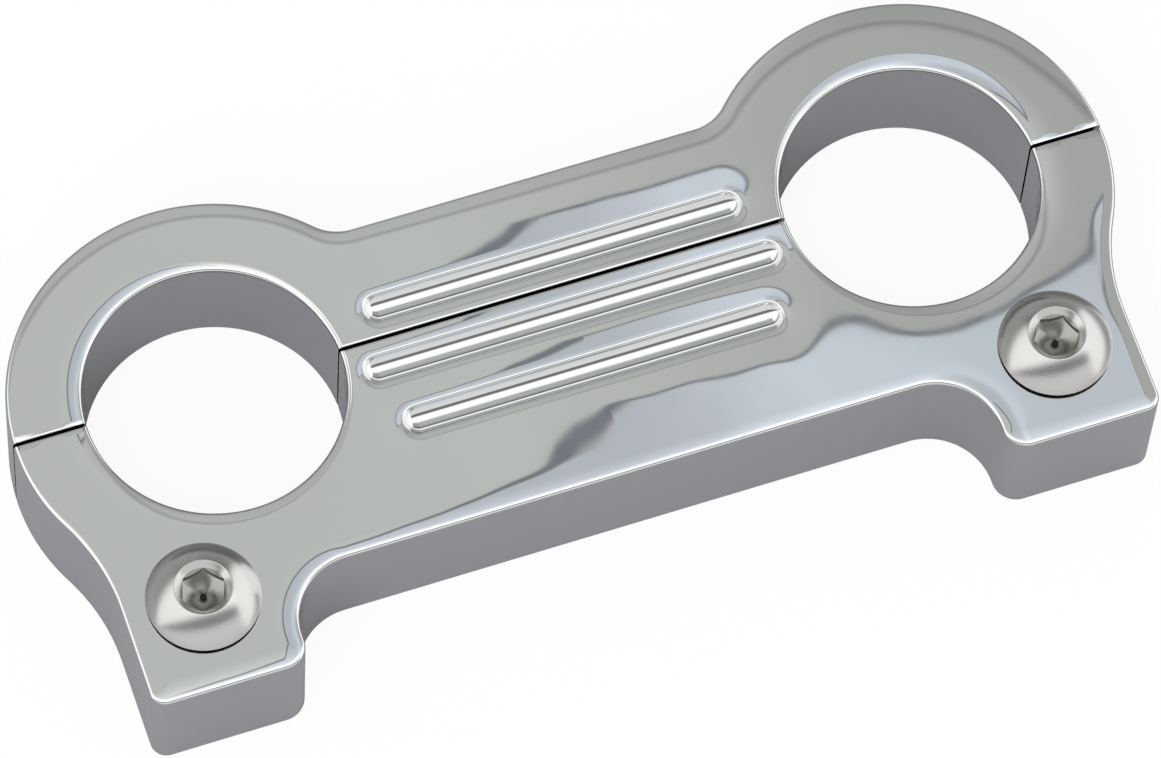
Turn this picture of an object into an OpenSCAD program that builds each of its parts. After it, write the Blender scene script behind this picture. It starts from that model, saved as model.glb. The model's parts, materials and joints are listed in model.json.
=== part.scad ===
// Split clamp plate that carries a gauge bracket on two handlebar risers.
// The two halves close around the risers and are drawn together by two cap screws.
// Two button head screws in the feet hold the gauge bracket.
// +X runs from the left riser bore to the right one, +Y away from the feet and +Z out of the front face.
// The origin lies midway between the bore centres, on the back face.

/* [Riser bores] */
// Distance between the riser centres
riser_spacing = 88.9; // [84:0.1:96]
// Diameter of each riser bore
bore_d = 31.8; // [28:0.1:34]
// Width of the metal around each bore
ring_wall = 9.2; // [7:0.1:11]

/* [Plate] */
// Thickness of the plate
plate_t = 16.8; // [14:0.1:20]
// Height of the bridge's top edge above the bore centres
bridge_rise = 15.5; // [13:0.1:18]
// Depth of the bridge's bottom edge below the bore centres
bridge_drop = 25.5; // [24:0.1:28]
// Radius of the fillet between a ring and the bridge's top edge
rise_fillet_r = 6; // [3:0.5:9]
// Rounding of the edges of the riser bores
edge_r = 0.5; // [0.2:0.05:0.7]

/* [Split] */
// Gap between the two halves
split_gap = 0.4; // [0.2:0.05:0.8]
// Height of the lower half's split face above the bore centres
split_rise = 0.3; // [0:0.05:0.5]
// Chamfer along the split
split_edge = 0.15; // [0.1:0.05:0.3]

/* [Feet] */
// Width of each foot
foot_w = 19.6; // [17:0.1:22]
// How far the feet reach below the bridge
foot_len = 11.5; // [9:0.1:15]
// Radius of a foot's outer corner
foot_outer_r = 2; // [1:0.5:4]
// Radius of a foot's inner corner
foot_inner_r = 3; // [1:0.5:4]
// Radius of the fillet between the bridge and a foot
foot_fillet_r = 8; // [3:0.5:10]
// Radius of the sweep between a ring and the outer side of its foot
side_sweep_r = 26; // [20:0.5:35]

/* [Flutes] */
// Distance between the flutes
flute_pitch = 7.75; // [6:0.05:9]
// Diameter of the ball cutter that mills a flute
flute_cutter_d = 4; // [3:0.1:5]
// Depth of a flute below the front face
flute_depth = 1.3; // [0.6:0.05:1.5]
// Metal left between the long flute and the riser bores
flute_land = 1.95; // [1:0.05:5]
// How much shorter the outer flutes are at each end
flute_step = 2.5; // [0:0.1:6]

/* [Gauge screws] */
// Distance between the gauge screws
gauge_screw_spacing = 107.95; // [104:0.05:112]
// Depth of the gauge screws below the bore centres
gauge_screw_drop = 25.4; // [24.4:0.1:27]
// Diameter of a gauge screw's shank
gauge_screw_d = 7.9; // [6:0.1:8]
// Diameter of a button head
button_d = 13.9; // [12:0.1:15]
// Height of a button head
button_h = 4.2; // [3.6:0.1:5]
// Height of the upright rim of a button head
button_rim_h = 0.3; // [0.1:0.05:0.6]
// Size of the bevel under the rim of a button head
button_under = 0.3; // [0.1:0.05:0.5]
// Width of a button head's hex socket across its flats
button_hex = 4.9; // [3.8:0.1:5.2]
// Depth of a button head's hex socket below the top of the dome
button_hex_depth = 2.6; // [1.8:0.1:3]
// Diameter of the bevelled mouth of a button head's socket
button_mouth_d = 7; // [6.6:0.1:7.6]
// Distance from the tip of a gauge screw to the back face
gauge_tip_inset = 2.4; // [1:0.1:5]
// Turn of the hex socket in the left gauge screw
left_hex_turn = 42; // [0:1:60]
// Turn of the hex socket in the right gauge screw
right_hex_turn = 24; // [0:1:60]

/* [Clamp screws] */
// Distance from the axis of a clamp screw to the edge of the nearest bore
clamp_screw_inset = 12.5; // [9:0.1:14]
// Diameter of a clamp screw's shank
clamp_screw_d = 6.35; // [5:0.05:7]
// Diameter of a cap head
cap_d = 9.5; // [9:0.1:10]
// Height of a cap head
cap_h = 6.35; // [5:0.05:7]
// Width of a cap head's hex socket across its flats
cap_hex = 4.8; // [4:0.1:5.5]
// Depth of a cap head's hex socket
cap_hex_depth = 3; // [2:0.1:3.5]
// Depth of a cap head below the bridge's top edge
cap_inset = 0.6; // [0:0.1:1.5]
// Clearance around a cap head in its counterbore
cap_gap = 0.4; // [0.2:0.05:0.6]
// Length of a clamp screw in the lower half
thread_grip = 13; // [8:0.5:16]
// Depth of the tapped hole beyond the tip of a clamp screw
tap_run = 3; // [1:0.5:5]

/* [Fits] */
// Clearance around a shank in a tapped hole
thread_gap = 0.1; // [0.05:0.05:0.15]
// Clearance around a clamp screw in the upper half
shank_gap = 0.2; // [0.15:0.05:0.4]
// Bevel at the mouths of the holes and at the tips of the screws
hole_bevel = 0.5; // [0.2:0.1:0.8]

/* [Hidden] */
$fn = 96;
// How far a cutter reaches past the metal
over = 1;
// Shortest straight stretch between two arcs
straight_min = 0.2;
// Rise of the cone at the bottom of a drilled hole, as a share of its radius
drill_point = 0.55;
chrome = [0.78, 0.80, 0.80];
stainless = [0.72, 0.71, 0.69];

bore_x = riser_spacing / 2;
bore_r = bore_d / 2;
ring_r = bore_r + ring_wall;
half_span = bore_x + ring_r + over;
foot_x = gauge_screw_spacing / 2;
foot_out_x = foot_x + foot_w / 2;
foot_in_x = foot_x - foot_w / 2;
foot_y = -bridge_drop - foot_len;
split_low = split_rise;
split_high = split_rise + split_gap;
split_mid = split_rise + split_gap / 2;
bore_c = [bore_x, 0];

// Centres of the arcs that join the straight sides
foot_fillet = min(foot_fillet_r, foot_len - foot_inner_r - straight_min);
rise_c = [bore_x - sqrt((ring_r + rise_fillet_r) ^ 2 - (bridge_rise + rise_fillet_r) ^ 2),
          bridge_rise + rise_fillet_r];
sweep_c = [foot_out_x + side_sweep_r,
           -sqrt((ring_r + side_sweep_r) ^ 2 - (foot_out_x + side_sweep_r - bore_x) ^ 2)];
outer_corner_c = [foot_out_x - foot_outer_r, foot_y + foot_outer_r];
inner_corner_c = [foot_in_x + foot_inner_r, foot_y + foot_inner_r];
fillet_c = [foot_in_x - foot_fillet, -bridge_drop - foot_fillet];

clamp_x = bore_x - bore_r - clamp_screw_inset;
cap_seat_y = bridge_rise - cap_inset - cap_h;
clamp_len = cap_seat_y - split_low + thread_grip;
flute_end = bore_x - bore_r - flute_land;
flute_z = plate_t + flute_cutter_d / 2 - flute_depth;
flute_half_w = sqrt(flute_depth * (flute_cutter_d - flute_depth));
dome_h = button_h - button_under - button_rim_h;
dome_r = ((button_d / 2) ^ 2 + dome_h ^ 2) / (2 * dome_h);

function flipped(points) = [for (i = [len(points) - 1 : -1 : 0]) [-points[i].x, points[i].y]];

// Corners of the right side, upwards from the bridge's bottom edge, with the centres of its hollow arcs
side_points = [
    [fillet_c.x, -bridge_drop], fillet_c, [foot_in_x, fillet_c.y],
    [foot_in_x, inner_corner_c.y], [inner_corner_c.x, foot_y],
    [outer_corner_c.x, foot_y], [foot_out_x, outer_corner_c.y],
    [foot_out_x, sweep_c.y], sweep_c, bore_c, rise_c, [rise_c.x, bridge_rise]
];

module both_sides() {
    children();
    mirror([1, 0, 0]) children();
}

module both_faces() {
    translate([0, 0, plate_t]) children();
    mirror([0, 0, 1]) children();
}

module disc(centre, r) {
    translate(centre) circle(r);
}

module outline() {
    difference() {
        union() {
            polygon(concat(side_points, flipped(side_points)));
            both_sides() {
                disc(bore_c, ring_r);
                disc(outer_corner_c, foot_outer_r);
                disc(inner_corner_c, foot_inner_r);
            }
        }
        both_sides() {
            disc(rise_c, rise_fillet_r);
            disc(sweep_c, side_sweep_r);
            disc(fillet_c, foot_fillet);
        }
    }
}

// Section of the cutter that rounds an edge at the origin, with the metal towards -X and -Y
module edge_section() {
    translate([-edge_r, -edge_r]) difference() {
        square(edge_r + over);
        circle(edge_r);
    }
}

// Rounds the edge of a riser bore
module bore_edge() {
    translate(bore_c) rotate_extrude() translate([bore_r, 0]) mirror([1, 0]) edge_section();
}

module bores() {
    both_sides() translate([bore_x, 0, -over]) cylinder(h = plate_t + 2 * over, r = bore_r);
    both_faces() both_sides() bore_edge();
}

module plate() {
    difference() {
        linear_extrude(plate_t) outline();
        bores();
    }
}

// Removes the metal on one side of a split face and bevels its long edges
module split_cut(y, side) {
    depth = ring_r - foot_y;
    translate([-half_span, side > 0 ? y : y - depth, -over])
        cube([2 * half_span, depth, plate_t + 2 * over]);
    both_faces() translate([-half_span, y, 0]) rotate([90, 0, 90])
        linear_extrude(2 * half_span)
            polygon([[-split_edge - over, over], [split_edge + over, over], [0, -split_edge]]);
}

// Ball-ended groove along X, with its axis above the front face
module flute(y, end) {
    r = flute_cutter_d / 2;
    reach = end - flute_half_w;
    translate([0, y, flute_z]) rotate([0, 90, 0]) rotate_extrude() {
        translate([0, -reach]) square([r, 2 * reach]);
        for (s = [-1, 1]) translate([0, s * reach]) intersection() {
            circle(r);
            translate([0, -r]) square([r, 2 * r]);
        }
    }
}

// Tapped hole along Z, with its bevelled mouth at z = 0 and a drilled cone below
module tapped_hole(screw_d, depth) {
    r = screw_d / 2 + thread_gap;
    translate([0, 0, -depth]) cylinder(h = depth + over, r = r);
    translate([0, 0, -depth - drill_point * r]) cylinder(h = drill_point * r, r1 = 0, r2 = r);
    bevelled_mouth(r);
}

module bevelled_mouth(r) {
    translate([0, 0, -hole_bevel]) cylinder(h = hole_bevel + over, r1 = r, r2 = r + hole_bevel + over);
}

// Places a feature on the axis of the right clamp screw, with local +Z along +Y
module on_clamp_axis(y) {
    translate([clamp_x, y, plate_t / 2]) rotate([-90, 0, 0]) children();
}

// Places a feature on the axis of the right gauge screw
module on_gauge_axis(z) {
    translate([foot_x, -gauge_screw_drop, z]) children();
}

// Hex socket that opens at z = 0, with a drilled cone at its bottom
module hex_socket(across_flats, depth, turn) {
    corner_r = across_flats / 2 / cos(30);
    rotate(turn) translate([0, 0, -depth]) cylinder(h = depth + over, r = corner_r, $fn = 6);
    translate([0, 0, -depth - drill_point * across_flats / 2])
        cylinder(h = drill_point * across_flats / 2, r1 = 0, r2 = across_flats / 2);
}

// Half section of a button head screw, with its seat at y = 0
module button_section(shank_len) {
    shank_r = gauge_screw_d / 2;
    head_r = button_d / 2;
    difference() {
        polygon([[0, -shank_len], [shank_r - hole_bevel, -shank_len],
                 [shank_r, hole_bevel - shank_len], [shank_r, 0],
                 [head_r - button_under, 0], [head_r, button_under],
                 [head_r, button_h + over], [0, button_h + over]]);
        difference() {
            translate([0, button_h - dome_h]) square([head_r + over, button_h + over]);
            translate([0, button_h - dome_r]) circle(dome_r);
        }
    }
}

module gauge_screw(turn) {
    mouth_r = button_mouth_d / 2;
    mouth_z = button_h - dome_r + sqrt(dome_r ^ 2 - mouth_r ^ 2);
    hex_r = button_hex / 2;
    color(stainless) difference() {
        rotate_extrude() button_section(plate_t - gauge_tip_inset);
        translate([0, 0, button_h]) hex_socket(button_hex, button_hex_depth, turn);
        translate([0, 0, mouth_z - mouth_r + hex_r])
            cylinder(h = mouth_r - hex_r + over, r1 = hex_r, r2 = mouth_r + over);
    }
}

module clamp_screw() {
    shank_r = clamp_screw_d / 2;
    color(stainless) difference() {
        rotate_extrude() polygon([
            [0, -clamp_len], [shank_r - hole_bevel, -clamp_len],
            [shank_r, hole_bevel - clamp_len], [shank_r, 0],
            [cap_d / 2, 0], [cap_d / 2, cap_h - hole_bevel],
            [cap_d / 2 - hole_bevel, cap_h], [0, cap_h]
        ]);
        translate([0, 0, cap_h]) hex_socket(cap_hex, cap_hex_depth, 0);
    }
}

module upper_half() {
    color(chrome) difference() {
        plate();
        split_cut(split_high, -1);
        flute(split_mid + flute_pitch / 2, flute_end - flute_step);
        both_sides() {
            on_clamp_axis(0) cylinder(h = cap_seat_y + over, d = clamp_screw_d + 2 * shank_gap);
            on_clamp_axis(cap_seat_y) cylinder(h = ring_r, d = cap_d + 2 * cap_gap);
        }
    }
}

module lower_half() {
    color(chrome) difference() {
        plate();
        split_cut(split_low, 1);
        flute(split_mid - flute_pitch / 2, flute_end);
        flute(split_mid - 3 * flute_pitch / 2, flute_end - flute_step);
        both_sides() {
            on_clamp_axis(split_low) tapped_hole(clamp_screw_d, thread_grip + tap_run);
            on_gauge_axis(plate_t) tapped_hole(gauge_screw_d, plate_t + over);
            on_gauge_axis(0) mirror([0, 0, 1]) bevelled_mouth(gauge_screw_d / 2 + thread_gap);
        }
    }
}

module gauge_screw_left() {
    translate([-foot_x, -gauge_screw_drop, plate_t]) gauge_screw(left_hex_turn);
}

module gauge_screw_right() {
    translate([foot_x, -gauge_screw_drop, plate_t]) gauge_screw(right_hex_turn);
}

module clamp_screw_left() {
    mirror([1, 0, 0]) on_clamp_axis(cap_seat_y) clamp_screw();
}

module clamp_screw_right() {
    on_clamp_axis(cap_seat_y) clamp_screw();
}

upper_half();
lower_half();
gauge_screw_left();
gauge_screw_right();
clamp_screw_left();
clamp_screw_right();
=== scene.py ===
import json
import math

import bmesh
import bpy
from mathutils import Matrix, Vector


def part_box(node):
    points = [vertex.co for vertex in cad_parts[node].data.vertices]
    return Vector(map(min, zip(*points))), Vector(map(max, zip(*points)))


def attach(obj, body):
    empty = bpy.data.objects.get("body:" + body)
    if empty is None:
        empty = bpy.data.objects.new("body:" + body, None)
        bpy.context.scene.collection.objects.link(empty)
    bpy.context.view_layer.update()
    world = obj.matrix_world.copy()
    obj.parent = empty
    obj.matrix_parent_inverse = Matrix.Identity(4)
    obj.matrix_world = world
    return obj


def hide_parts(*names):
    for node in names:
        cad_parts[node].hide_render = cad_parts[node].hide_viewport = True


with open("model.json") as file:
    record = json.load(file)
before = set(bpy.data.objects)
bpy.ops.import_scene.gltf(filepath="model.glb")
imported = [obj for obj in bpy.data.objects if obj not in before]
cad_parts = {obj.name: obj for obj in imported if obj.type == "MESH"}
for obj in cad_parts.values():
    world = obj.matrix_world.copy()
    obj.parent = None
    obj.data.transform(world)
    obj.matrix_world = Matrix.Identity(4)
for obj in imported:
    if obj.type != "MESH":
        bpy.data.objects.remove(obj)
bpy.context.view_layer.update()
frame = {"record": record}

mm = 0.001
upAxis = (0, 0, 1)
weldDistance = 0.0002  # millimetres
mounts = {m["name"]: m for m in frame["record"]["mounts"]}


# The camera was solved from the rims of the four bore edges in the photograph
cameraView = {
    "place": (-0.17110, -0.40446, 0.95583),
    "imageRight": (0.9460, -0.3223, 0.0356),
    "imageDown": (-0.2798, -0.8669, -0.4126),
    "lens": 265.75,  # for a sensor 36 mm wide
    "sensor": 36,
}


def makeCamera(view):
    data = bpy.data.cameras.new("camera")
    data.sensor_width = view["sensor"]
    data.lens = view["lens"]
    data.clip_start = 0.05
    data.clip_end = 50
    camera = bpy.data.objects.new("camera", data)
    right = Vector(view["imageRight"]).normalized()
    back = right.cross(-Vector(view["imageDown"])).normalized()
    up = back.cross(right)
    turn = Matrix((right, up, back)).transposed().to_4x4()
    camera.matrix_world = Matrix.Translation(view["place"]) @ turn
    bpy.context.scene.collection.objects.link(camera)
    bpy.context.scene.camera = camera


makeCamera(cameraView)
print("camera placed")


# Node helpers: every material is built from these
def addNode(tree, kind, **values):
    node = tree.nodes.new(kind)
    for name, value in values.items():
        setattr(node, name, value)
    return node


def mathNode(tree, operation, first, second=None, third=None):
    node = addNode(tree, "ShaderNodeMath", operation=operation)
    for place, value in enumerate((first, second, third)):
        if value is None:
            continue
        if isinstance(value, (int, float)):
            node.inputs[place].default_value = value
        else:
            tree.links.new(value, node.inputs[place])
    return node.outputs[0]


def newMaterial(name):
    material = bpy.data.materials.new(name)
    material.use_nodes = True
    tree = material.node_tree
    tree.nodes.clear()
    output = addNode(tree, "ShaderNodeOutputMaterial")
    return material, tree, output


def spreadOver(tree, value, low, high):
    # Brings a range of values to 0 to 1
    return mathNode(tree, "MULTIPLY_ADD", value, 1 / (high - low), -low / (high - low))


def rampOver(tree, value, stops):
    # A colour ramp whose stops are given in the value's own units, as colours or as grey levels
    low, high = stops[0][0], stops[-1][0]
    ramp = addNode(tree, "ShaderNodeValToRGB")
    marks = ramp.color_ramp.elements
    while len(marks) < len(stops):
        marks.new(0.5)
    for mark, (place, level) in zip(marks, stops):
        colour = level if isinstance(level, tuple) else (level,) * 3
        mark.position = (place - low) / (high - low)
        mark.color = (*colour, 1)
    tree.links.new(spreadOver(tree, value, low, high), ramp.inputs[0])
    return ramp.outputs[0]


def mixColours(tree, share, first, second, blend="MIX"):
    mix = addNode(tree, "ShaderNodeMix", data_type="RGBA", blend_type=blend)
    for place, value in ((0, share), (6, first), (7, second)):
        if isinstance(value, tuple):
            mix.inputs[place].default_value = (*value, 1)
        else:
            tree.links.new(value, mix.inputs[place])
    return mix.outputs[2]


def lengthOf(tree, first, second):
    squares = mathNode(tree, "MULTIPLY_ADD", first, first, mathNode(tree, "MULTIPLY", second, second))
    return mathNode(tree, "SQRT", squares)


def placeInMm(tree):
    # Object coordinates in millimetres, whole and as x, y and z
    place = addNode(tree, "ShaderNodeTexCoord").outputs["Object"]
    scaled = addNode(tree, "ShaderNodeVectorMath", operation="SCALE")
    scaled.inputs["Scale"].default_value = 1 / mm
    tree.links.new(place, scaled.inputs[0])
    split = addNode(tree, "ShaderNodeSeparateXYZ")
    tree.links.new(scaled.outputs[0], split.inputs[0])
    return scaled.outputs[0], split.outputs


def noiseNode(tree, source, scale, detail, dimensions="3D"):
    noise = addNode(tree, "ShaderNodeTexNoise", noise_dimensions=dimensions)
    noise.inputs["Scale"].default_value = scale
    noise.inputs["Detail"].default_value = detail
    tree.links.new(source, noise.inputs["W" if dimensions == "1D" else "Vector"])
    return noise.outputs["Fac"]


def bumpNode(tree, height):
    # The height is in millimetres
    bump = addNode(tree, "ShaderNodeBump")
    bump.inputs["Strength"].default_value = 1
    bump.inputs["Distance"].default_value = mm
    tree.links.new(height, bump.inputs["Height"])
    return bump.outputs[0]


def seenByCamera(tree):
    # One where the camera looks straight at it, by a mirror or through glass
    path = addNode(tree, "ShaderNodeLightPath")
    seen = mathNode(tree, "MAXIMUM", path.outputs["Is Camera Ray"], path.outputs["Is Glossy Ray"])
    return mathNode(tree, "MAXIMUM", seen, path.outputs["Is Transmission Ray"])


# Stage: a white ground, a grey bench card and a light tent that only reflections see, in metres
studio = {
    "groundSize": 6,
    "groundDrop": 0.00015,
    "benchDrop": 0.00005,
    "benchSize": 1.2,
    "benchGrey": (0.335, 0.335, 0.352),
    "shadowShare": 0.09,
    "skyLevel": 0.75,
    "tentRadius": 3,
    "tentRings": 48,
    "paperGrey": 0.9,
    "lampPlace": (-1.1, -1.3, 2.2),
    "lampSize": 1.6,
    "lampPower": 38,
}


def stageObject(name, bm, material):
    mesh = bpy.data.meshes.new(name)
    bm.to_mesh(mesh)
    bm.free()
    thing = bpy.data.objects.new(name, mesh)
    thing.data.materials.append(material)
    bpy.context.scene.collection.objects.link(thing)
    return thing


def sheetMesh(size, height):
    bm = bmesh.new()
    bmesh.ops.create_grid(bm, x_segments=1, y_segments=1, size=size / 2)
    bmesh.ops.translate(bm, verts=bm.verts, vec=(0, 0, height))
    return bm


def onlyInReflections(thing):
    thing.visible_camera = False
    thing.visible_diffuse = False
    thing.visible_transmission = False
    thing.visible_shadow = False


def groundMaterial():
    material, tree, output = newMaterial("ground")
    paper = addNode(tree, "ShaderNodeBsdfDiffuse")
    paper.inputs["Color"].default_value = (*[studio["paperGrey"]] * 3, 1)
    white = addNode(tree, "ShaderNodeEmission")
    white.inputs["Color"].default_value = (1, 1, 1, 1)
    mix = addNode(tree, "ShaderNodeMixShader")
    share = mathNode(tree, "MULTIPLY", seenByCamera(tree), 1 - studio["shadowShare"])
    tree.links.new(share, mix.inputs[0])
    tree.links.new(paper.outputs[0], mix.inputs[1])
    tree.links.new(white.outputs[0], mix.inputs[2])
    tree.links.new(mix.outputs[0], output.inputs[0])
    return material


def benchMaterial():
    material, tree, output = newMaterial("benchCard")
    card = addNode(tree, "ShaderNodeBsdfDiffuse")
    card.inputs["Color"].default_value = (*studio["benchGrey"], 1)
    tree.links.new(card.outputs[0], output.inputs[0])
    return material


# The tent by direction: angles are degrees from straight up towards +Y,
# and the other places are parts of a unit direction's x, y or z
tent = {
    "arch": [(-120, 0.60), (-62, 0.85), (-49, 0.80), (-46, 0.20), (-31, 0.20), (-26, 0.95), (-18, 1.45),
             (0, 1.4), (12, 1.1), (16.5, 0.75), (19.5, 0.60), (25.5, 0.60), (25.8, 0.36), (26.2, 0.38),
             (26.6, 0.54), (44, 0.49), (53, 0.44), (56, 0.18), (66, 0.20), (69, 0.42), (88, 0.36),
             (90, 0.60), (120, 0.60)],
    "warm": [(0.10, (0.95, 0.975, 0.94)), (0.145, (0.99, 1.02, 0.975)), (0.18, (0.90, 0.92, 0.885)),
             (0.212, (0.80, 0.82, 0.79)), (0.23, (0.75, 0.765, 0.74))],
    "cool": [(0.163, (0.90, 0.96, 1.04)), (0.176, (0.95, 1.01, 1.09)), (0.194, (1.17, 1.26, 1.37)),
             (0.209, (1.12, 1.22, 1.33)), (0.225, (0.99, 1.07, 1.15))],
    "dark": (0.34, 0.36, 0.41),
    "cardLeft": 0.163,
    "cardLean": 0.55,
    "cardRight": 0.288,
    "cardTop": 0.39,
    "cardSlant": 0.28,
    "slantFrom": 0.212,
    "tintFrom": 0.15,
    "tintTo": 0.28,
    "softEdge": 0.0045,
    "sharpEdge": 0.0013,
    "leftLamp": [(-0.40, 1), (-0.30, 0)],
    "leftReach": [(-30, 0), (-8, 1), (42, 1), (66, 0)],
    "horizon": [(-0.05, 0), (0.05, 1)],
    "rightLamp": [(0.72, 0), (0.78, 1)],
    "lampLevel": 1.25,
}


def tentMaterial():
    material, tree, output = newMaterial("lightTent")
    place = addNode(tree, "ShaderNodeTexCoord").outputs["Object"]
    unit = addNode(tree, "ShaderNodeVectorMath", operation="NORMALIZE")
    tree.links.new(place, unit.inputs[0])
    split = addNode(tree, "ShaderNodeSeparateXYZ")
    tree.links.new(unit.outputs[0], split.inputs[0])
    x, y, z = split.outputs
    turn = mathNode(tree, "MULTIPLY", mathNode(tree, "ARCTAN2", y, z), math.degrees(1))
    level = rampOver(tree, turn, tent["arch"])
    # The bluish card has a soft left edge and sharp right and top edges, each with a dark border
    leaning = mathNode(tree, "MULTIPLY_ADD", y, -tent["cardLean"], x)
    start = tent["cardLeft"] - tent["cardLean"] * tent["cardTop"]
    left = spreadOver(tree, leaning, start, start + tent["softEdge"])
    right = spreadOver(tree, x, tent["cardRight"], tent["cardRight"] - tent["sharpEdge"])
    beyond = mathNode(tree, "MAXIMUM", mathNode(tree, "SUBTRACT", x, tent["slantFrom"]), 0)
    slanted = mathNode(tree, "MULTIPLY_ADD", beyond, tent["cardSlant"], y)
    top = spreadOver(tree, slanted, tent["cardTop"], tent["cardTop"] - tent["sharpEdge"])
    inside = mathNode(tree, "MINIMUM", mathNode(tree, "MINIMUM", left, right), top)
    card = rampOver(tree, inside, [(-1, 0), (0.7, 0), (1.3, 1)])
    border = rampOver(tree, mathNode(tree, "ABSOLUTE", inside), [(0, 1), (0.45, 1), (1, 0)])
    tint = mixColours(tree, card, rampOver(tree, x, tent["warm"]), rampOver(tree, x, tent["cool"]))
    tint = mixColours(tree, border, tint, tent["dark"])
    upward = rampOver(tree, y, [(tent["tintFrom"], 0), (tent["tintTo"], 1)])
    glowing = mixColours(tree, upward, level, tint, "MULTIPLY")
    reach = rampOver(tree, turn, tent["leftReach"])
    patch = mathNode(tree, "MULTIPLY", rampOver(tree, x, tent["leftLamp"]), reach)
    sides = mathNode(tree, "ADD", patch, rampOver(tree, x, tent["rightLamp"]))
    lamps = mathNode(tree, "MULTIPLY", sides, rampOver(tree, z, tent["horizon"]))
    glowing = mixColours(tree, lamps, glowing, (tent["lampLevel"],) * 3)
    glow = addNode(tree, "ShaderNodeEmission")
    tree.links.new(glowing, glow.inputs["Color"])
    tree.links.new(glow.outputs[0], output.inputs[0])
    return material


def makeWorld():
    world = bpy.data.worlds.new("world")
    bpy.context.scene.world = world
    world.use_nodes = True
    tree = world.node_tree
    tree.nodes.clear()
    output = addNode(tree, "ShaderNodeOutputWorld")
    sky = addNode(tree, "ShaderNodeBackground")
    sky.inputs["Color"].default_value = (1, 1, 1, 1)
    level = mathNode(tree, "MULTIPLY_ADD", seenByCamera(tree), 1 - studio["skyLevel"], studio["skyLevel"])
    tree.links.new(level, sky.inputs["Strength"])
    tree.links.new(sky.outputs[0], output.inputs[0])


def makeStage():
    stageObject("ground", sheetMesh(studio["groundSize"], -studio["groundDrop"]), groundMaterial())
    bench = stageObject("benchCard", sheetMesh(studio["benchSize"], -studio["benchDrop"]), benchMaterial())
    onlyInReflections(bench)
    bm = bmesh.new()
    rings = studio["tentRings"]
    bmesh.ops.create_uvsphere(bm, u_segments=2 * rings, v_segments=rings, radius=studio["tentRadius"])
    bmesh.ops.reverse_faces(bm, faces=bm.faces)
    for face in bm.faces:
        face.smooth = True
    onlyInReflections(stageObject("lightTent", bm, tentMaterial()))
    lamp = bpy.data.lights.new("softLamp", "AREA")
    lamp.size = studio["lampSize"]
    lamp.energy = studio["lampPower"]
    holder = bpy.data.objects.new("softLamp", lamp)
    holder.location = studio["lampPlace"]
    holder.rotation_euler = (-holder.location).to_track_quat("-Z", "Y").to_euler()
    holder.visible_glossy = False
    bpy.context.scene.collection.objects.link(holder)


makeWorld()
makeStage()
bpy.context.scene.view_settings.view_transform = "Standard"
print("stage and light ready")


# Chrome plate: what a user would change about the two halves, in millimetres and degrees
plate = {
    "riseFillet": 6,
    "footOuterCorner": 2,
    "footInnerCorner": 3,
    "footFillet": 8,
    "footWidth": 19.6,
    "topEdge": 15.5,
    "sideSweep": 26,
    "bridgeDrop": 25.5,
    "splitLow": 0.3,
    "splitHigh": 0.7,
    "edgeRound": 0.5,
    "edgeSteps": 8,
    "rollWidth": 4.2,
    "rollDrop": 0.105,
    "rollSteps": 14,
    "boreGrow": 0.58,  # share of the roll's width that the circles round a bore grow by
    "boreShift": 0.5,  # share by which their centres move away from the flutes
    "splitShare": 0.09,
    "support": 0.04,
    "lineSupport": 0.3,
    "arcStep": 2.0,
    "tinyCorner": 0.03,
}

lowBox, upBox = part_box("lower_half"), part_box("upper_half")
boreMount = mounts["riser_clamp_right"]
boreX = boreMount["pos_m"][0] / mm
boreR = boreMount["dims"]["r_mm"]
thick = lowBox[1].z / mm
ringR = upBox[1].x / mm - boreX
topY = plate["topEdge"]
footY = lowBox[0].y / mm
footX = mounts["gauge_seat_right"]["pos_m"][0] / mm
footOutX = footX + plate["footWidth"] / 2
footInX = footX - plate["footWidth"] / 2
boreC = (boreX, 0)
riseC = (boreX - math.sqrt((ringR + plate["riseFillet"]) ** 2 - (topY + plate["riseFillet"]) ** 2),
         topY + plate["riseFillet"])
sweepX = footOutX + plate["sideSweep"]
sweepC = (sweepX, -math.sqrt((ringR + plate["sideSweep"]) ** 2 - (sweepX - boreX) ** 2))
filletC = (footInX - plate["footFillet"], -plate["bridgeDrop"] - plate["footFillet"])


def bearing(start, end):
    return math.degrees(math.atan2(end[1] - start[1], end[0] - start[0]))


def cornerC(sideX, inward, radius, inset):
    # A corner whose radius the inset has used up turns into a tiny round one
    left = max(radius - inset, plate["tinyCorner"])
    return (sideX + inward * (inset + left), footY + inset + left), left


def boreArc(inset):
    # The soft roll is narrower towards the flutes: its circles grow away from them
    extra = max(inset - plate["edgeRound"], 0)
    return boreX + extra * plate["boreShift"], boreR + inset - extra * (1 - plate["boreGrow"])


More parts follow.
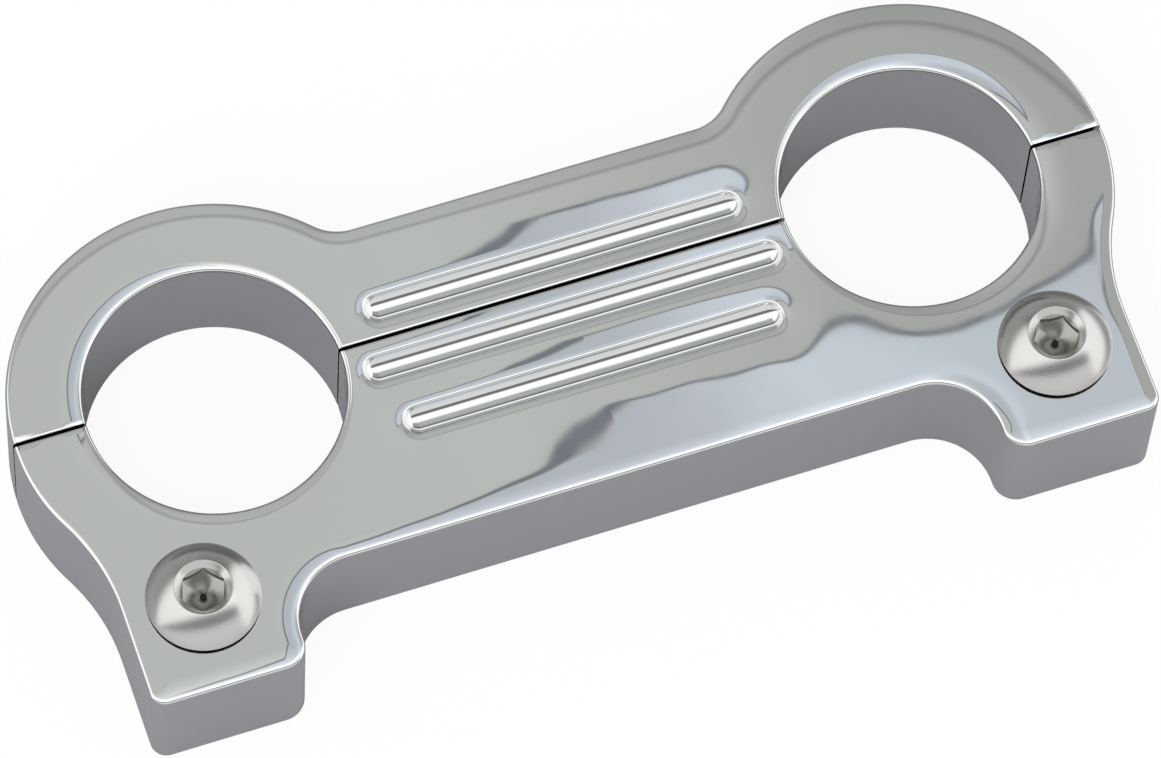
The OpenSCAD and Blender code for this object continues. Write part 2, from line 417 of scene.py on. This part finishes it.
class Pen:
    # Draws one closed loop at a height, from arcs and straight stretches
    def __init__(self, bm, height):
        self.bm = bm
        self.height = height
        self.first = None
        self.last = None

    def goTo(self, x, y):
        point = Vector((x, y, self.height))
        if self.last is None:
            self.first = self.last = self.bm.verts.new(point)
            return
        start = self.last.co.copy()
        length = (point - start).length
        if length < plate["support"] / 10:
            return
        near = plate["lineSupport"]
        stops = [near / length, 1 - near / length, 1] if length > 4 * near else [1]
        for stop in stops:
            self.last = bmesh.ops.extrude_vert_indiv(self.bm, verts=[self.last])["verts"][0]
            self.last.co = start.lerp(point, stop)

    def arc(self, centre, radius, start, end):
        first = math.radians(start)
        self.goTo(centre[0] + radius * math.cos(first), centre[1] + radius * math.sin(first))
        steps = max(2, round(abs(end - start) / plate["arcStep"]))
        made = bmesh.ops.spin(self.bm, geom=[self.last], cent=(*centre, 0), axis=upAxis,
                              angle=math.radians(end - start), steps=steps, use_merge=False)
        self.last = [item for item in made["geom_last"] if isinstance(item, bmesh.types.BMVert)][0]

    def close(self):
        self.bm.edges.new((self.last, self.first))


def upperLoop(bm, height, inset):
    split = plate["splitHigh"] + inset * plate["splitShare"]
    ring, rise = ringR - inset, plate["riseFillet"] + inset
    boreAt, bore = boreArc(inset)
    outer = math.degrees(math.asin(split / ring))
    inner = math.degrees(math.asin(split / bore))
    toRise = bearing(boreC, riseC)
    fromRise = bearing(riseC, boreC)
    leftC, leftRise = (-boreX, 0), (-riseC[0], riseC[1])
    pen = Pen(bm, height)
    pen.arc(boreC, ring, outer, toRise)
    pen.arc(riseC, rise, fromRise, -90)
    pen.arc(leftRise, rise, -90, -180 - fromRise)
    pen.arc(leftC, ring, 180 - toRise, 180 - outer)
    pen.arc((-boreAt, 0), bore, 180 - inner, inner)
    pen.arc((boreAt, 0), bore, 180 - inner, inner)
    pen.close()


def lowerLoop(bm, height, inset):
    split = plate["splitLow"] - inset * plate["splitShare"]
    ring, sweep = ringR - inset, plate["sideSweep"] + inset
    boreAt, bore = boreArc(inset)
    fillet = plate["footFillet"] + inset
    outer = math.degrees(math.asin(split / ring))
    inner = math.degrees(math.asin(split / bore))
    toSweep = bearing(boreC, sweepC)
    fromSweep = bearing(sweepC, boreC)
    outCorner, outLeft = cornerC(footOutX, -1, plate["footOuterCorner"], inset)
    inCorner, inLeft = cornerC(footInX, 1, plate["footInnerCorner"], inset)

    # On the roll's inner loops the side of the foot is used up, and its corner runs into the fillet
    rise = math.asin(max(0, inCorner[1] - filletC[1]) / fillet)
    inCorner = (inCorner[0] - fillet * (1 - math.cos(rise)), inCorner[1])
    lift = math.degrees(rise)

    def left(point):
        return (-point[0], point[1])

    pen = Pen(bm, height)
    pen.arc(boreC, ring, outer, toSweep)
    pen.arc(sweepC, sweep, fromSweep, 180)
    pen.arc(outCorner, outLeft, 0, -90)
    pen.arc(inCorner, inLeft, 270, 180)
    pen.arc(filletC, fillet, lift, 90)
    pen.arc(left(filletC), fillet, 90, 180 - lift)
    pen.arc(left(inCorner), inLeft, 0, -90)
    pen.arc(left(outCorner), outLeft, 270, 180)
    pen.arc(left(sweepC), sweep, 0, 180 - fromSweep)
    pen.arc(left(boreC), ring, 180 - toSweep, 180 - outer)
    pen.arc((-boreAt, 0), bore, -180 - inner, inner)
    pen.arc((boreAt, 0), bore, -180 - inner, inner)
    pen.close()


def edgeProfile():
    # Inset and depth below the face, from the wall over the round edge and the soft roll to the flat
    radius, width, drop = plate["edgeRound"], plate["rollWidth"], plate["rollDrop"]

    def depth(inset):
        return drop * (1 - min(inset, width) / width) ** 3

    slope = math.atan(3 * drop / width)
    join = radius * (1 - math.sin(slope))
    centre = depth(join) + radius * math.cos(slope)
    end = math.pi / 2 - slope
    steps = plate["edgeSteps"]
    levels = [(0, centre + plate["support"])]
    for step in range(steps + 1):
        angle = end * step / steps
        levels.append((radius * (1 - math.cos(angle)), centre - radius * math.sin(angle)))
    for step in range(1, plate["rollSteps"] + 1):
        inset = join + (width - join) * step / plate["rollSteps"]
        levels.append((inset, depth(inset)))
    levels.append((width + plate["support"], 0))
    return levels


def appended(bm, part):
    # Copies a small bmesh into a large one and returns the edges that arrive
    mesh = bpy.data.meshes.new("scratch")
    part.to_mesh(mesh)
    part.free()
    count = len(bm.edges)
    bm.from_mesh(mesh)
    bpy.data.meshes.remove(mesh)
    bm.edges.ensure_lookup_table()
    return bm.edges[count:]


def drawn(bm, loopMaker, height, inset):
    part = bmesh.new()
    loopMaker(part, height, inset)
    return appended(bm, part)


def halfShell(bm, loopMaker):
    # Walls, round edges and soft rolls of one half; returns the open loops on the front and back faces
    levels = edgeProfile()
    front = [drawn(bm, loopMaker, thick - depth, inset) for inset, depth in levels]
    back = [drawn(bm, loopMaker, depth, inset) for inset, depth in levels]
    stack = [*reversed(back), *front]
    for one, other in zip(stack, stack[1:]):
        bmesh.ops.bridge_loops(bm, edges=one + other)
    return front[-1], back[-1]


# Milled flutes in the front face
flutes = {
    "pitch": 7.75,
    "cutter": 2.0,
    "depth": 1.3,
    "rim": 0.35,
    "rimSteps": 7,
    "wallSteps": 14,
    "rollWidth": 0.8,
    "rollDrop": 0.02,
    "rollSteps": 5,
    "endSteps": 24,
    "halfWidth": 1.87,
    "longEnd": 26.6,
    "shortEnd": 24.1,
}


def fluteProfile():
    # Distance from the flute's middle and depth below the face, from the flat down to the middle
    cutter, rim = flutes["cutter"], flutes["rim"]
    rise = cutter - flutes["depth"]
    width, drop = flutes["rollWidth"], flutes["rollDrop"]
    slope = math.atan(2 * drop / width)
    low = rise + drop + rim * math.cos(slope)
    rimX = math.sqrt((cutter + rim) ** 2 - low ** 2)
    tilt = math.atan2(rimX, low)
    edge = rimX + rim * math.sin(slope)
    points = [(edge + width + plate["support"], 0)]
    for step in range(flutes["rollSteps"] + 1):
        away = 1 - step / flutes["rollSteps"]
        points.append((edge + width * away, drop * (1 - away) ** 2))
    for step in range(1, flutes["rimSteps"] + 1):
        angle = slope + (tilt - slope) * step / flutes["rimSteps"]
        away = rimX - rim * math.sin(angle) + rim * math.sin(slope)
        points.append((away, low - rise - rim * math.cos(angle)))
    for step in range(1, flutes["wallSteps"] + 1):
        angle = tilt * (1 - step / flutes["wallSteps"])
        points.append((cutter * math.sin(angle), cutter * math.cos(angle) - rise))
    return points


def flutePatch(y, end):
    # Sweeps the half section right round the flute
    bm = bmesh.new()
    reach = end - flutes["halfWidth"]
    points = [Vector((reach, y + away, thick - depth)) for away, depth in fluteProfile()]
    last = bm.verts.new(points[0])
    for point in points[1:]:
        last = bmesh.ops.extrude_vert_indiv(bm, verts=[last])["verts"][0]
        last.co = point
    section = list(bm.edges)
    for side in (1, -1):
        swept = bmesh.ops.spin(bm, geom=section, cent=(side * reach, y, 0), axis=upAxis,
                               angle=-math.pi, steps=flutes["endSteps"], use_merge=False)["geom_last"]
        section = [item for item in swept if isinstance(item, bmesh.types.BMEdge)]
        made = bmesh.ops.extrude_edge_only(bm, edges=section)["geom"]
        moved = {item for item in made if isinstance(item, bmesh.types.BMVert)}
        bmesh.ops.translate(bm, verts=list(moved), vec=(-2 * side * reach, 0, 0))
        section = [edge for edge in bm.edges if set(edge.verts) <= moved]
    bmesh.ops.remove_doubles(bm, verts=bm.verts, dist=weldDistance)
    return bm


def openRim(edges, height=thick, slack=weldDistance):
    # The open edges that lie at one height
    return [edge for edge in edges
            if edge.is_boundary and all(abs(v.co.z - height) < slack for v in edge.verts)]


def finishPiece(name, bm, material, smoothAngle=32):
    # Pieces are drawn in millimetres and turned to metres here
    bmesh.ops.remove_doubles(bm, verts=bm.verts, dist=weldDistance)
    bmesh.ops.recalc_face_normals(bm, faces=bm.faces)
    for face in bm.faces:
        face.smooth = True
    bmesh.ops.scale(bm, verts=bm.verts, vec=(mm, mm, mm))
    mesh = bpy.data.meshes.new(name)
    bm.to_mesh(mesh)
    bm.free()
    mesh.set_sharp_from_angle(angle=math.radians(smoothAngle))
    piece = bpy.data.objects.new(name, mesh)
    piece.data.materials.append(material)
    bpy.context.scene.collection.objects.link(piece)
    return piece


def fillFlat(bm, loops):
    edges = [edge for loop in loops for edge in loop]
    bmesh.ops.triangle_fill(bm, edges=edges, use_beauty=True, use_dissolve=False, normal=upAxis)


def makeHalf(name, loopMaker, fluteRows, holes, material):
    bm = bmesh.new()
    front, back = halfShell(bm, loopMaker)
    rims = [openRim(appended(bm, flutePatch(y, end))) for y, end in fluteRows]
    fillFlat(bm, [front, *rims])
    fillFlat(bm, [back])
    bmesh.ops.remove_doubles(bm, verts=bm.verts, dist=weldDistance)
    bmesh.ops.recalc_face_normals(bm, faces=bm.faces)
    return finishPiece(name, combined(bm, holes, "DIFFERENCE"), material)


# Turned solids: a half section of (radius, height, rounding) corners goes round Z
def softCorners(corners, steps=5):
    points = []
    for before, here, after in zip([corners[0], *corners], corners, [*corners[1:], corners[-1]]):
        corner, radius = Vector(here[:2]), here[2]
        if not radius:
            points.append(tuple(corner))
            continue
        back, ahead = (Vector(before[:2]) - corner).normalized(), (Vector(after[:2]) - corner).normalized()
        half = back.angle(ahead) / 2
        reach = radius / math.tan(half)
        centre = corner + (back + ahead).normalized() * radius / math.sin(half)
        for step in range(steps + 1):
            spoke = (back * reach).lerp(ahead * reach, step / steps) + corner - centre
            points.append(tuple(centre + spoke.normalized() * radius))
    return points


def turned(points, steps=96):
    bm = bmesh.new()
    last = bm.verts.new((points[0][0], 0, points[0][1]))
    for radius, height in points[1:]:
        last = bmesh.ops.extrude_vert_indiv(bm, verts=[last])["verts"][0]
        last.co = (radius, 0, height)
    bmesh.ops.spin(bm, geom=bm.verts[:] + bm.edges[:], cent=(0, 0, 0), axis=upAxis,
                   angle=math.tau, steps=steps, use_merge=True)
    bmesh.ops.remove_doubles(bm, verts=bm.verts, dist=weldDistance)
    bmesh.ops.recalc_face_normals(bm, faces=bm.faces)
    return bm


def placed(bm, matrix):
    bmesh.ops.transform(bm, matrix=matrix, verts=bm.verts)
    return bm


def scratchObject(bm):
    mesh = bpy.data.meshes.new("scratch")
    bm.to_mesh(mesh)
    bm.free()
    thing = bpy.data.objects.new("scratch", mesh)
    bpy.context.scene.collection.objects.link(thing)
    return thing


def combined(bm, tools, operation):
    # Cuts, joins or crosses a closed solid with others that lie clear of each other
    for tool in tools[1:]:
        appended(tools[0], tool)
    pair = [scratchObject(bm), scratchObject(tools[0])]
    boolean = pair[0].modifiers.new("combine", "BOOLEAN")
    boolean.object = pair[1]
    boolean.operation = operation
    boolean.solver = "EXACT"
    made = bpy.data.meshes.new_from_object(pair[0].evaluated_get(bpy.context.evaluated_depsgraph_get()))
    result = bmesh.new()
    result.from_mesh(made)
    for mesh in (made, pair[0].data, pair[1].data):
        bpy.data.meshes.remove(mesh)
    return result


# Screw thread: one turn's section goes up the axis, and both ends are cut square
thread = {
    "pitch": 1.41,
    "crest": 3.93,
    "root": 3.2,
    "gap": 0.06,
    "rootFlat": 0.16,
    "crestFlat": 0.12,
    "steps": 40,
    "weld": 0.01,
    "endSlack": 0.001,
}


def threadedRod(grow, low, high):
    bm = bmesh.new()
    pitch, crest, root = thread["pitch"], thread["crest"] + grow, thread["root"] + grow
    flank = pitch * (1 - thread["rootFlat"] - thread["crestFlat"]) / 2
    turns = math.ceil((high - low) / pitch) + 2
    base = low - 1.5 * pitch
    section = [(root, 0), (root, pitch * thread["rootFlat"]), (crest, pitch * thread["rootFlat"] + flank),
               (crest, pitch - flank), (root, pitch)]
    last = bm.verts.new((section[0][0], 0, base))
    for radius, height in section[1:]:
        last = bmesh.ops.extrude_vert_indiv(bm, verts=[last])["verts"][0]
        last.co = (radius, 0, base + height)
    steps = thread["steps"]
    bmesh.ops.spin(bm, geom=bm.verts[:] + bm.edges[:], cent=(0, 0, 0), axis=upAxis,
                   dvec=(0, 0, pitch / steps), angle=math.tau * turns, steps=steps * turns, use_merge=False)
    bmesh.ops.remove_doubles(bm, verts=bm.verts, dist=thread["weld"])
    for height, outwards in ((low, -1), (high, 1)):
        bmesh.ops.bisect_plane(bm, geom=bm.verts[:] + bm.edges[:] + bm.faces[:], dist=1e-5,
                               plane_co=(0, 0, height), plane_no=(0, 0, outwards), clear_outer=True)
        bmesh.ops.holes_fill(bm, edges=openRim(bm.edges, height, thread["endSlack"]), sides=0)
    bmesh.ops.recalc_face_normals(bm, faces=bm.faces)
    return bm


# Holes: what a user would change, in millimetres
bores = {
    "clampX": 16.05,
    "clampR": 3.375,
    "clampTapR": 3.275,
    "clampTapDepth": 16,
    "capR": 5.15,
    "capSeat": 8.55,
    "capLip": 0.4,
    "lipTurn": 80,  # degrees of the round lip
    "lipSteps": 5,
    "gaugeBevel": 0.5,
    "wallSteps": 64,
    "drillPoint": 0.55,
    "over": 1.5,
}
footSeat = mounts["gauge_seat_right"]["pos_m"]
gaugeX, gaugeY = footSeat[0] / mm, footSeat[1] / mm


def alongY(side):
    # Puts a turned solid on the axis of a clamp screw, with its height along +Y
    return Matrix.Translation((side * bores["clampX"], 0, thick / 2)) @ Matrix.Rotation(-math.pi / 2, 4, "X")


def onFoot(side, height=0):
    return Matrix.Translation((side * gaugeX, gaugeY, height))


def capHole(side):
    over, lip = bores["over"], bores["capLip"]
    corners = [(0, plate["splitHigh"] - over, 0), (bores["clampR"], plate["splitHigh"] - over, 0),
               (bores["clampR"], bores["capSeat"], 0), (bores["capR"], bores["capSeat"], 0),
               (bores["capR"], topY - lip, 0)]
    for step in range(1, bores["lipSteps"] + 1):
        angle = math.radians(bores["lipTurn"]) * step / bores["lipSteps"]
        corners.append((bores["capR"] + lip * (1 - math.cos(angle)), topY - lip + lip * math.sin(angle), 0))
    corners += [(bores["capR"] + lip, topY + over, 0), (0, topY + over, 0)]
    return placed(turned(softCorners(corners)), alongY(side))


def tapHole(side):
    radius, depth = bores["clampTapR"], bores["clampTapDepth"]
    top = plate["splitLow"]
    over, bevel = bores["over"], bores["gaugeBevel"]
    corners = [(0, top - depth - bores["drillPoint"] * radius, 0), (radius, top - depth, 0),
               (radius, top - bevel, 0), (radius + bevel + over, top + over, 0), (0, top + over, 0)]
    return placed(turned(softCorners(corners), bores["wallSteps"]), alongY(side))


def gaugeHole(side):
    # A threaded hole right through, with bevelled mouths
    over, bevel = bores["over"], bores["gaugeBevel"]
    mouth = thread["crest"] + thread["gap"] + bevel
    waist = thread["root"] - bevel
    corners = [(0, -over, 0), (mouth + over, -over, 0), (waist, mouth - waist, 0),
               (waist, thick - mouth + waist, 0), (mouth + over, thick + over, 0), (0, thick + over, 0)]
    wall = turned(softCorners(corners), bores["wallSteps"])
    return placed(combined(wall, [threadedRod(thread["gap"], -over, thick + over)], "UNION"), onFoot(side))


# Chrome: hand polishing leaves the lands between the flutes and around the bores slightly domed
chrome = {
    "colour": (0.80, 0.81, 0.81),
    "roughness": 0.02,
    "fluteSlope": 0.02,
    "fluteReach": 3.5,
    "boreSlope": 0.012,
    "boreReach": 10,
    "tiltStart": -15,
    "tiltEnd": 66,
    "upperTilt": 0.014,
    "lowerTilt": 0.007,
    "waveScale": 0.07,
    "waveDetail": 1,
    "waveHeight": 0.022,
    "hazeScale": 0.35,
    "hazeDetail": 4,
}


def fadingHollow(tree, distance, edge, slope, reach):
    # Height that falls towards an edge and fades out over the reach
    away = mathNode(tree, "MAXIMUM", mathNode(tree, "SUBTRACT", distance, edge), 0)
    fade = mathNode(tree, "EXPONENT", mathNode(tree, "MULTIPLY", away, -1 / reach))
    return mathNode(tree, "MULTIPLY", fade, -slope * reach)


def chromeMaterial(name, fluteRows, tilt):
    material, tree, output = newMaterial(name)
    place, (x, y, _) = placeInMm(tree)
    side = mathNode(tree, "ABSOLUTE", x)
    height = fadingHollow(tree, lengthOf(tree, mathNode(tree, "SUBTRACT", side, boreX), y),
                          boreR + plate["edgeRound"], chrome["boreSlope"], chrome["boreReach"])
    for row, end in fluteRows:
        past = mathNode(tree, "MAXIMUM", mathNode(tree, "SUBTRACT", side, end - flutes["halfWidth"]), 0)
        distance = lengthOf(tree, past, mathNode(tree, "SUBTRACT", y, row))
        hollow = fadingHollow(tree, distance, flutes["halfWidth"] + flutes["rim"],
                              chrome["fluteSlope"], chrome["fluteReach"])
        height = mathNode(tree, "ADD", height, hollow)
    ramp = spreadOver(tree, x, chrome["tiltStart"], chrome["tiltEnd"])
    lean = mathNode(tree, "MULTIPLY", ramp, y)
    height = mathNode(tree, "MULTIPLY_ADD", lean, -tilt, height)
    wave = noiseNode(tree, place, chrome["waveScale"], chrome["waveDetail"])
    height = mathNode(tree, "MULTIPLY_ADD", wave, chrome["waveHeight"], height)
    haze = noiseNode(tree, place, chrome["hazeScale"], chrome["hazeDetail"])
    dull = chrome["roughness"]
    roughness = mathNode(tree, "MULTIPLY_ADD", haze, dull, dull / 2)
    metal = addNode(tree, "ShaderNodeBsdfPrincipled")
    metal.inputs["Base Color"].default_value = (*chrome["colour"], 1)
    metal.inputs["Metallic"].default_value = 1
    tree.links.new(roughness, metal.inputs["Roughness"])
    tree.links.new(bumpNode(tree, height), metal.inputs["Normal"])
    tree.links.new(metal.outputs[0], output.inputs[0])
    return material


middle = (plate["splitLow"] + plate["splitHigh"]) / 2
upperRows = [(middle + flutes["pitch"] / 2, flutes["shortEnd"])]
lowerRows = [(middle - flutes["pitch"] / 2, flutes["longEnd"]),
             (middle - 1.5 * flutes["pitch"], flutes["shortEnd"])]
upperChrome = chromeMaterial("upperChrome", upperRows, chrome["upperTilt"])
lowerChrome = chromeMaterial("lowerChrome", lowerRows, chrome["lowerTilt"])
upperPlate = makeHalf("upperPlate", upperLoop, upperRows, [capHole(-1), capHole(1)], upperChrome)
lowerPlate = makeHalf("lowerPlate", lowerLoop, lowerRows,
                      [tapHole(-1), tapHole(1), gaugeHole(-1), gaugeHole(1)], lowerChrome)
for piece, node in ((upperPlate, "upper_half"), (lowerPlate, "lower_half")):
    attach(piece, "root")
    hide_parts(node)
print("plate halves made")


# Button head screws: head seat at height 0, in millimetres
button = {
    "headR": 6.95,
    "height": 4.2,
    "rim": 0.1,
    "under": 0.5,
    "seatR": 6.05,
    "mouthR": 3.5,
    "hexFlats": 4.9,
    "hexDepth": 2.6,
    "tipInset": 2.4,
    "tipTaper": 0.35,
    "neck": 1.2,
    "neckRound": 0.3,
    "rimRound": 0.08,
    "mouthRound": 0.12,
    "inside": 0.1,
    "overlap": 0.02,
    "shankStart": 0.2,
    "shankTop": 0.4,
    "domeSteps": 24,
    "turns": {-1: 42, 1: 24},
}


# Hex sockets of both kinds of screw
socket = {
    "dimple": 0.35,
    "tall": 20,
    "skirt": 0.5,
    "over": 1,
    "steps": 48,
}


def hexTool(head, turn):
    # Hex prism with a conical bottom and a small dimple in its middle
    bm = bmesh.new()
    inner = head["hexFlats"] / 2
    corner = inner / math.cos(math.radians(30))
    bmesh.ops.create_cone(bm, cap_ends=True, segments=6, radius1=corner, radius2=corner, depth=socket["tall"])
    bmesh.ops.rotate(bm, verts=bm.verts, cent=(0, 0, 0), matrix=Matrix.Rotation(math.radians(turn), 3, "Z"))
    wallFoot, top = head["height"] - head["hexDepth"], head["height"] + socket["over"]
    slope, dimple, outer = bores["drillPoint"], socket["dimple"], corner + socket["skirt"]
    tip = wallFoot - slope * inner
    floor = [(0, tip - dimple, 0), (dimple, tip + slope * dimple, 0),
             (outer, wallFoot + slope * (outer - inner), 0), (outer, top, 0), (0, top, 0)]
    return combined(bm, [turned(softCorners(floor), socket["steps"])], "INTERSECT")


def domeHeight(radius):
    rise = button["height"] - button["under"] - button["rim"]
    domeR = (button["headR"] ** 2 + rise ** 2) / (2 * rise)
    return button["height"] - domeR + math.sqrt(domeR ** 2 - radius ** 2)


def makeButtonScrew(name, side, material):
    headR, seatR, mouthR = button["headR"], button["seatR"], button["mouthR"]
    core, crest = thread["root"] - button["inside"], thread["crest"] + button["overlap"]
    foot, neck = button["under"] - button["overlap"], button["neck"]
    mouth = domeHeight(mouthR)
    wellR = button["hexFlats"] / 2 - button["inside"]
    corners = [(0, -neck, 0), (core, -neck, 0), (core, 0, button["neckRound"]), (seatR, 0, 0),
               (seatR, foot, 0), (headR, foot, button["rimRound"]), (headR, button["under"] + button["rim"], 0)]
    steps = button["domeSteps"]
    for step in range(1, steps):
        radius = headR + (mouthR - headR) * step / steps
        corners.append((radius, domeHeight(radius), 0))
    corners += [(mouthR, mouth, button["mouthRound"]), (wellR, mouth - mouthR + wellR, 0),
                (0, mouth - mouthR + wellR, 0)]
    head = combined(turned(softCorners(corners)), [hexTool(button, button["turns"][side])], "DIFFERENCE")
    length, top = thick - button["tipInset"], button["shankTop"]
    tip = thread["root"] - button["tipTaper"]
    blank = [(0, -length, 0), (tip, -length, 0), (crest, crest - tip - length, 0),
             (crest, -button["shankStart"], 0), (core, top, 0), (0, top, 0)]
    rod = threadedRod(0, -length - 1, top + button["shankStart"])
    shank = combined(rod, [turned(softCorners(blank), bores["wallSteps"])], "INTERSECT")
    screw = combined(head, [shank], "UNION")
    return finishPiece(name, placed(screw, onFoot(side, thick)), material, 30)


# Cap screws in the top edge: seat at height 0
cap = {
    "headR": 4.75,
    "height": 6.35,
    "bevel": 0.5,
    "hexFlats": 4.8,
    "hexDepth": 3,
    "shankR": 3.175,
    "grip": 13,
    "mouth": 0.55,
    "seatRound": 0.1,
    "topRounds": (0.3, 0.2),
    "mouthRound": 0.05,
}


def makeCapScrew(name, side, material):
    length = cap["grip"] + bores["capSeat"] - plate["splitLow"]
    headR, shankR, top, bevel = cap["headR"], cap["shankR"], cap["height"], cap["bevel"]
    mouthR = cap["hexFlats"] / 2 + cap["mouth"]
    wellR = cap["hexFlats"] / 2 - button["inside"]
    corners = [(0, -length, 0), (shankR - bevel, -length, 0), (shankR, bevel - length, 0), (shankR, 0, 0),
               (headR, 0, cap["seatRound"]), (headR, top - bevel, cap["topRounds"][0]),
               (headR - bevel, top, cap["topRounds"][1]), (mouthR, top, cap["mouthRound"]),
               (wellR, top - mouthR + wellR, 0), (0, top - mouthR + wellR, 0)]
    screw = combined(turned(softCorners(corners)), [hexTool(cap, 0)], "DIFFERENCE")
    seat = Matrix.Translation((0, bores["capSeat"], 0))
    return finishPiece(name, placed(screw, seat @ alongY(side)), material, 30)


# Turned stainless steel: fine rings round the screw axis, painted shade in the hex socket and a painted shadow
# in the gap under the head
steel = {
    "bright": (0.66, 0.655, 0.64),
    "dull": (0.40, 0.395, 0.37),
    "gap": (0.03, 0.03, 0.03),
    "socketR": 2.75,
    "grooves": 5,
    "grooveDetail": 3,
    "grooveDepth": 0.006,
    "blur": 0.1,
    "roughness": 0.24,
}


def steelMaterial():
    material, tree, output = newMaterial("turnedStainless")
    _, (x, y, z) = placeInMm(tree)
    across = mathNode(tree, "SUBTRACT", mathNode(tree, "ABSOLUTE", x), gaugeX)
    radius = lengthOf(tree, across, mathNode(tree, "SUBTRACT", y, gaugeY))
    grooves = mathNode(tree, "MULTIPLY", radius, steel["grooves"])
    rings = noiseNode(tree, grooves, 1, steel["grooveDetail"], "1D")
    height = mathNode(tree, "MULTIPLY", rings, steel["grooveDepth"])
    blur, under = steel["blur"], thick + button["under"]
    # Painted shade: the hex socket in the gauge screw heads is coloured a darker grey for the shade inside it
    inside = rampOver(tree, radius, [(0, 1), (steel["socketR"], 1), (steel["socketR"] + blur, 0)])
    onHead = rampOver(tree, z, [(thick, 0), (thick + blur, 1)])
    # Painted shadow: the screw from just below the plate's face up to the head's underside is coloured nearly
    # black for the shade in the gap under the head
    below = rampOver(tree, z, [(under - 2 * button["overlap"], 1), (under, 0)])
    aboveFace = rampOver(tree, z, [(thick - 2 * blur, 0), (thick - blur, 1)])
    colour = mixColours(tree, mathNode(tree, "MULTIPLY", inside, onHead), steel["bright"], steel["dull"])
    colour = mixColours(tree, mathNode(tree, "MULTIPLY", below, aboveFace), colour, steel["gap"])
    metal = addNode(tree, "ShaderNodeBsdfPrincipled")
    metal.inputs["Metallic"].default_value = 1
    metal.inputs["Roughness"].default_value = steel["roughness"]
    tree.links.new(colour, metal.inputs["Base Color"])
    tree.links.new(bumpNode(tree, height), metal.inputs["Normal"])
    tree.links.new(metal.outputs[0], output.inputs[0])
    return material


steelWithPaintedShade = steelMaterial()
for side, word in ((-1, "Left"), (1, "Right")):
    for piece, node in ((makeButtonScrew("gaugeScrew" + word, side, steelWithPaintedShade), "gauge_screw_"),
                        (makeCapScrew("clampScrew" + word, side, steelWithPaintedShade), "clamp_screw_")):
        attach(piece, "root")
        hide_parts(node + word.lower())
print("screws made")
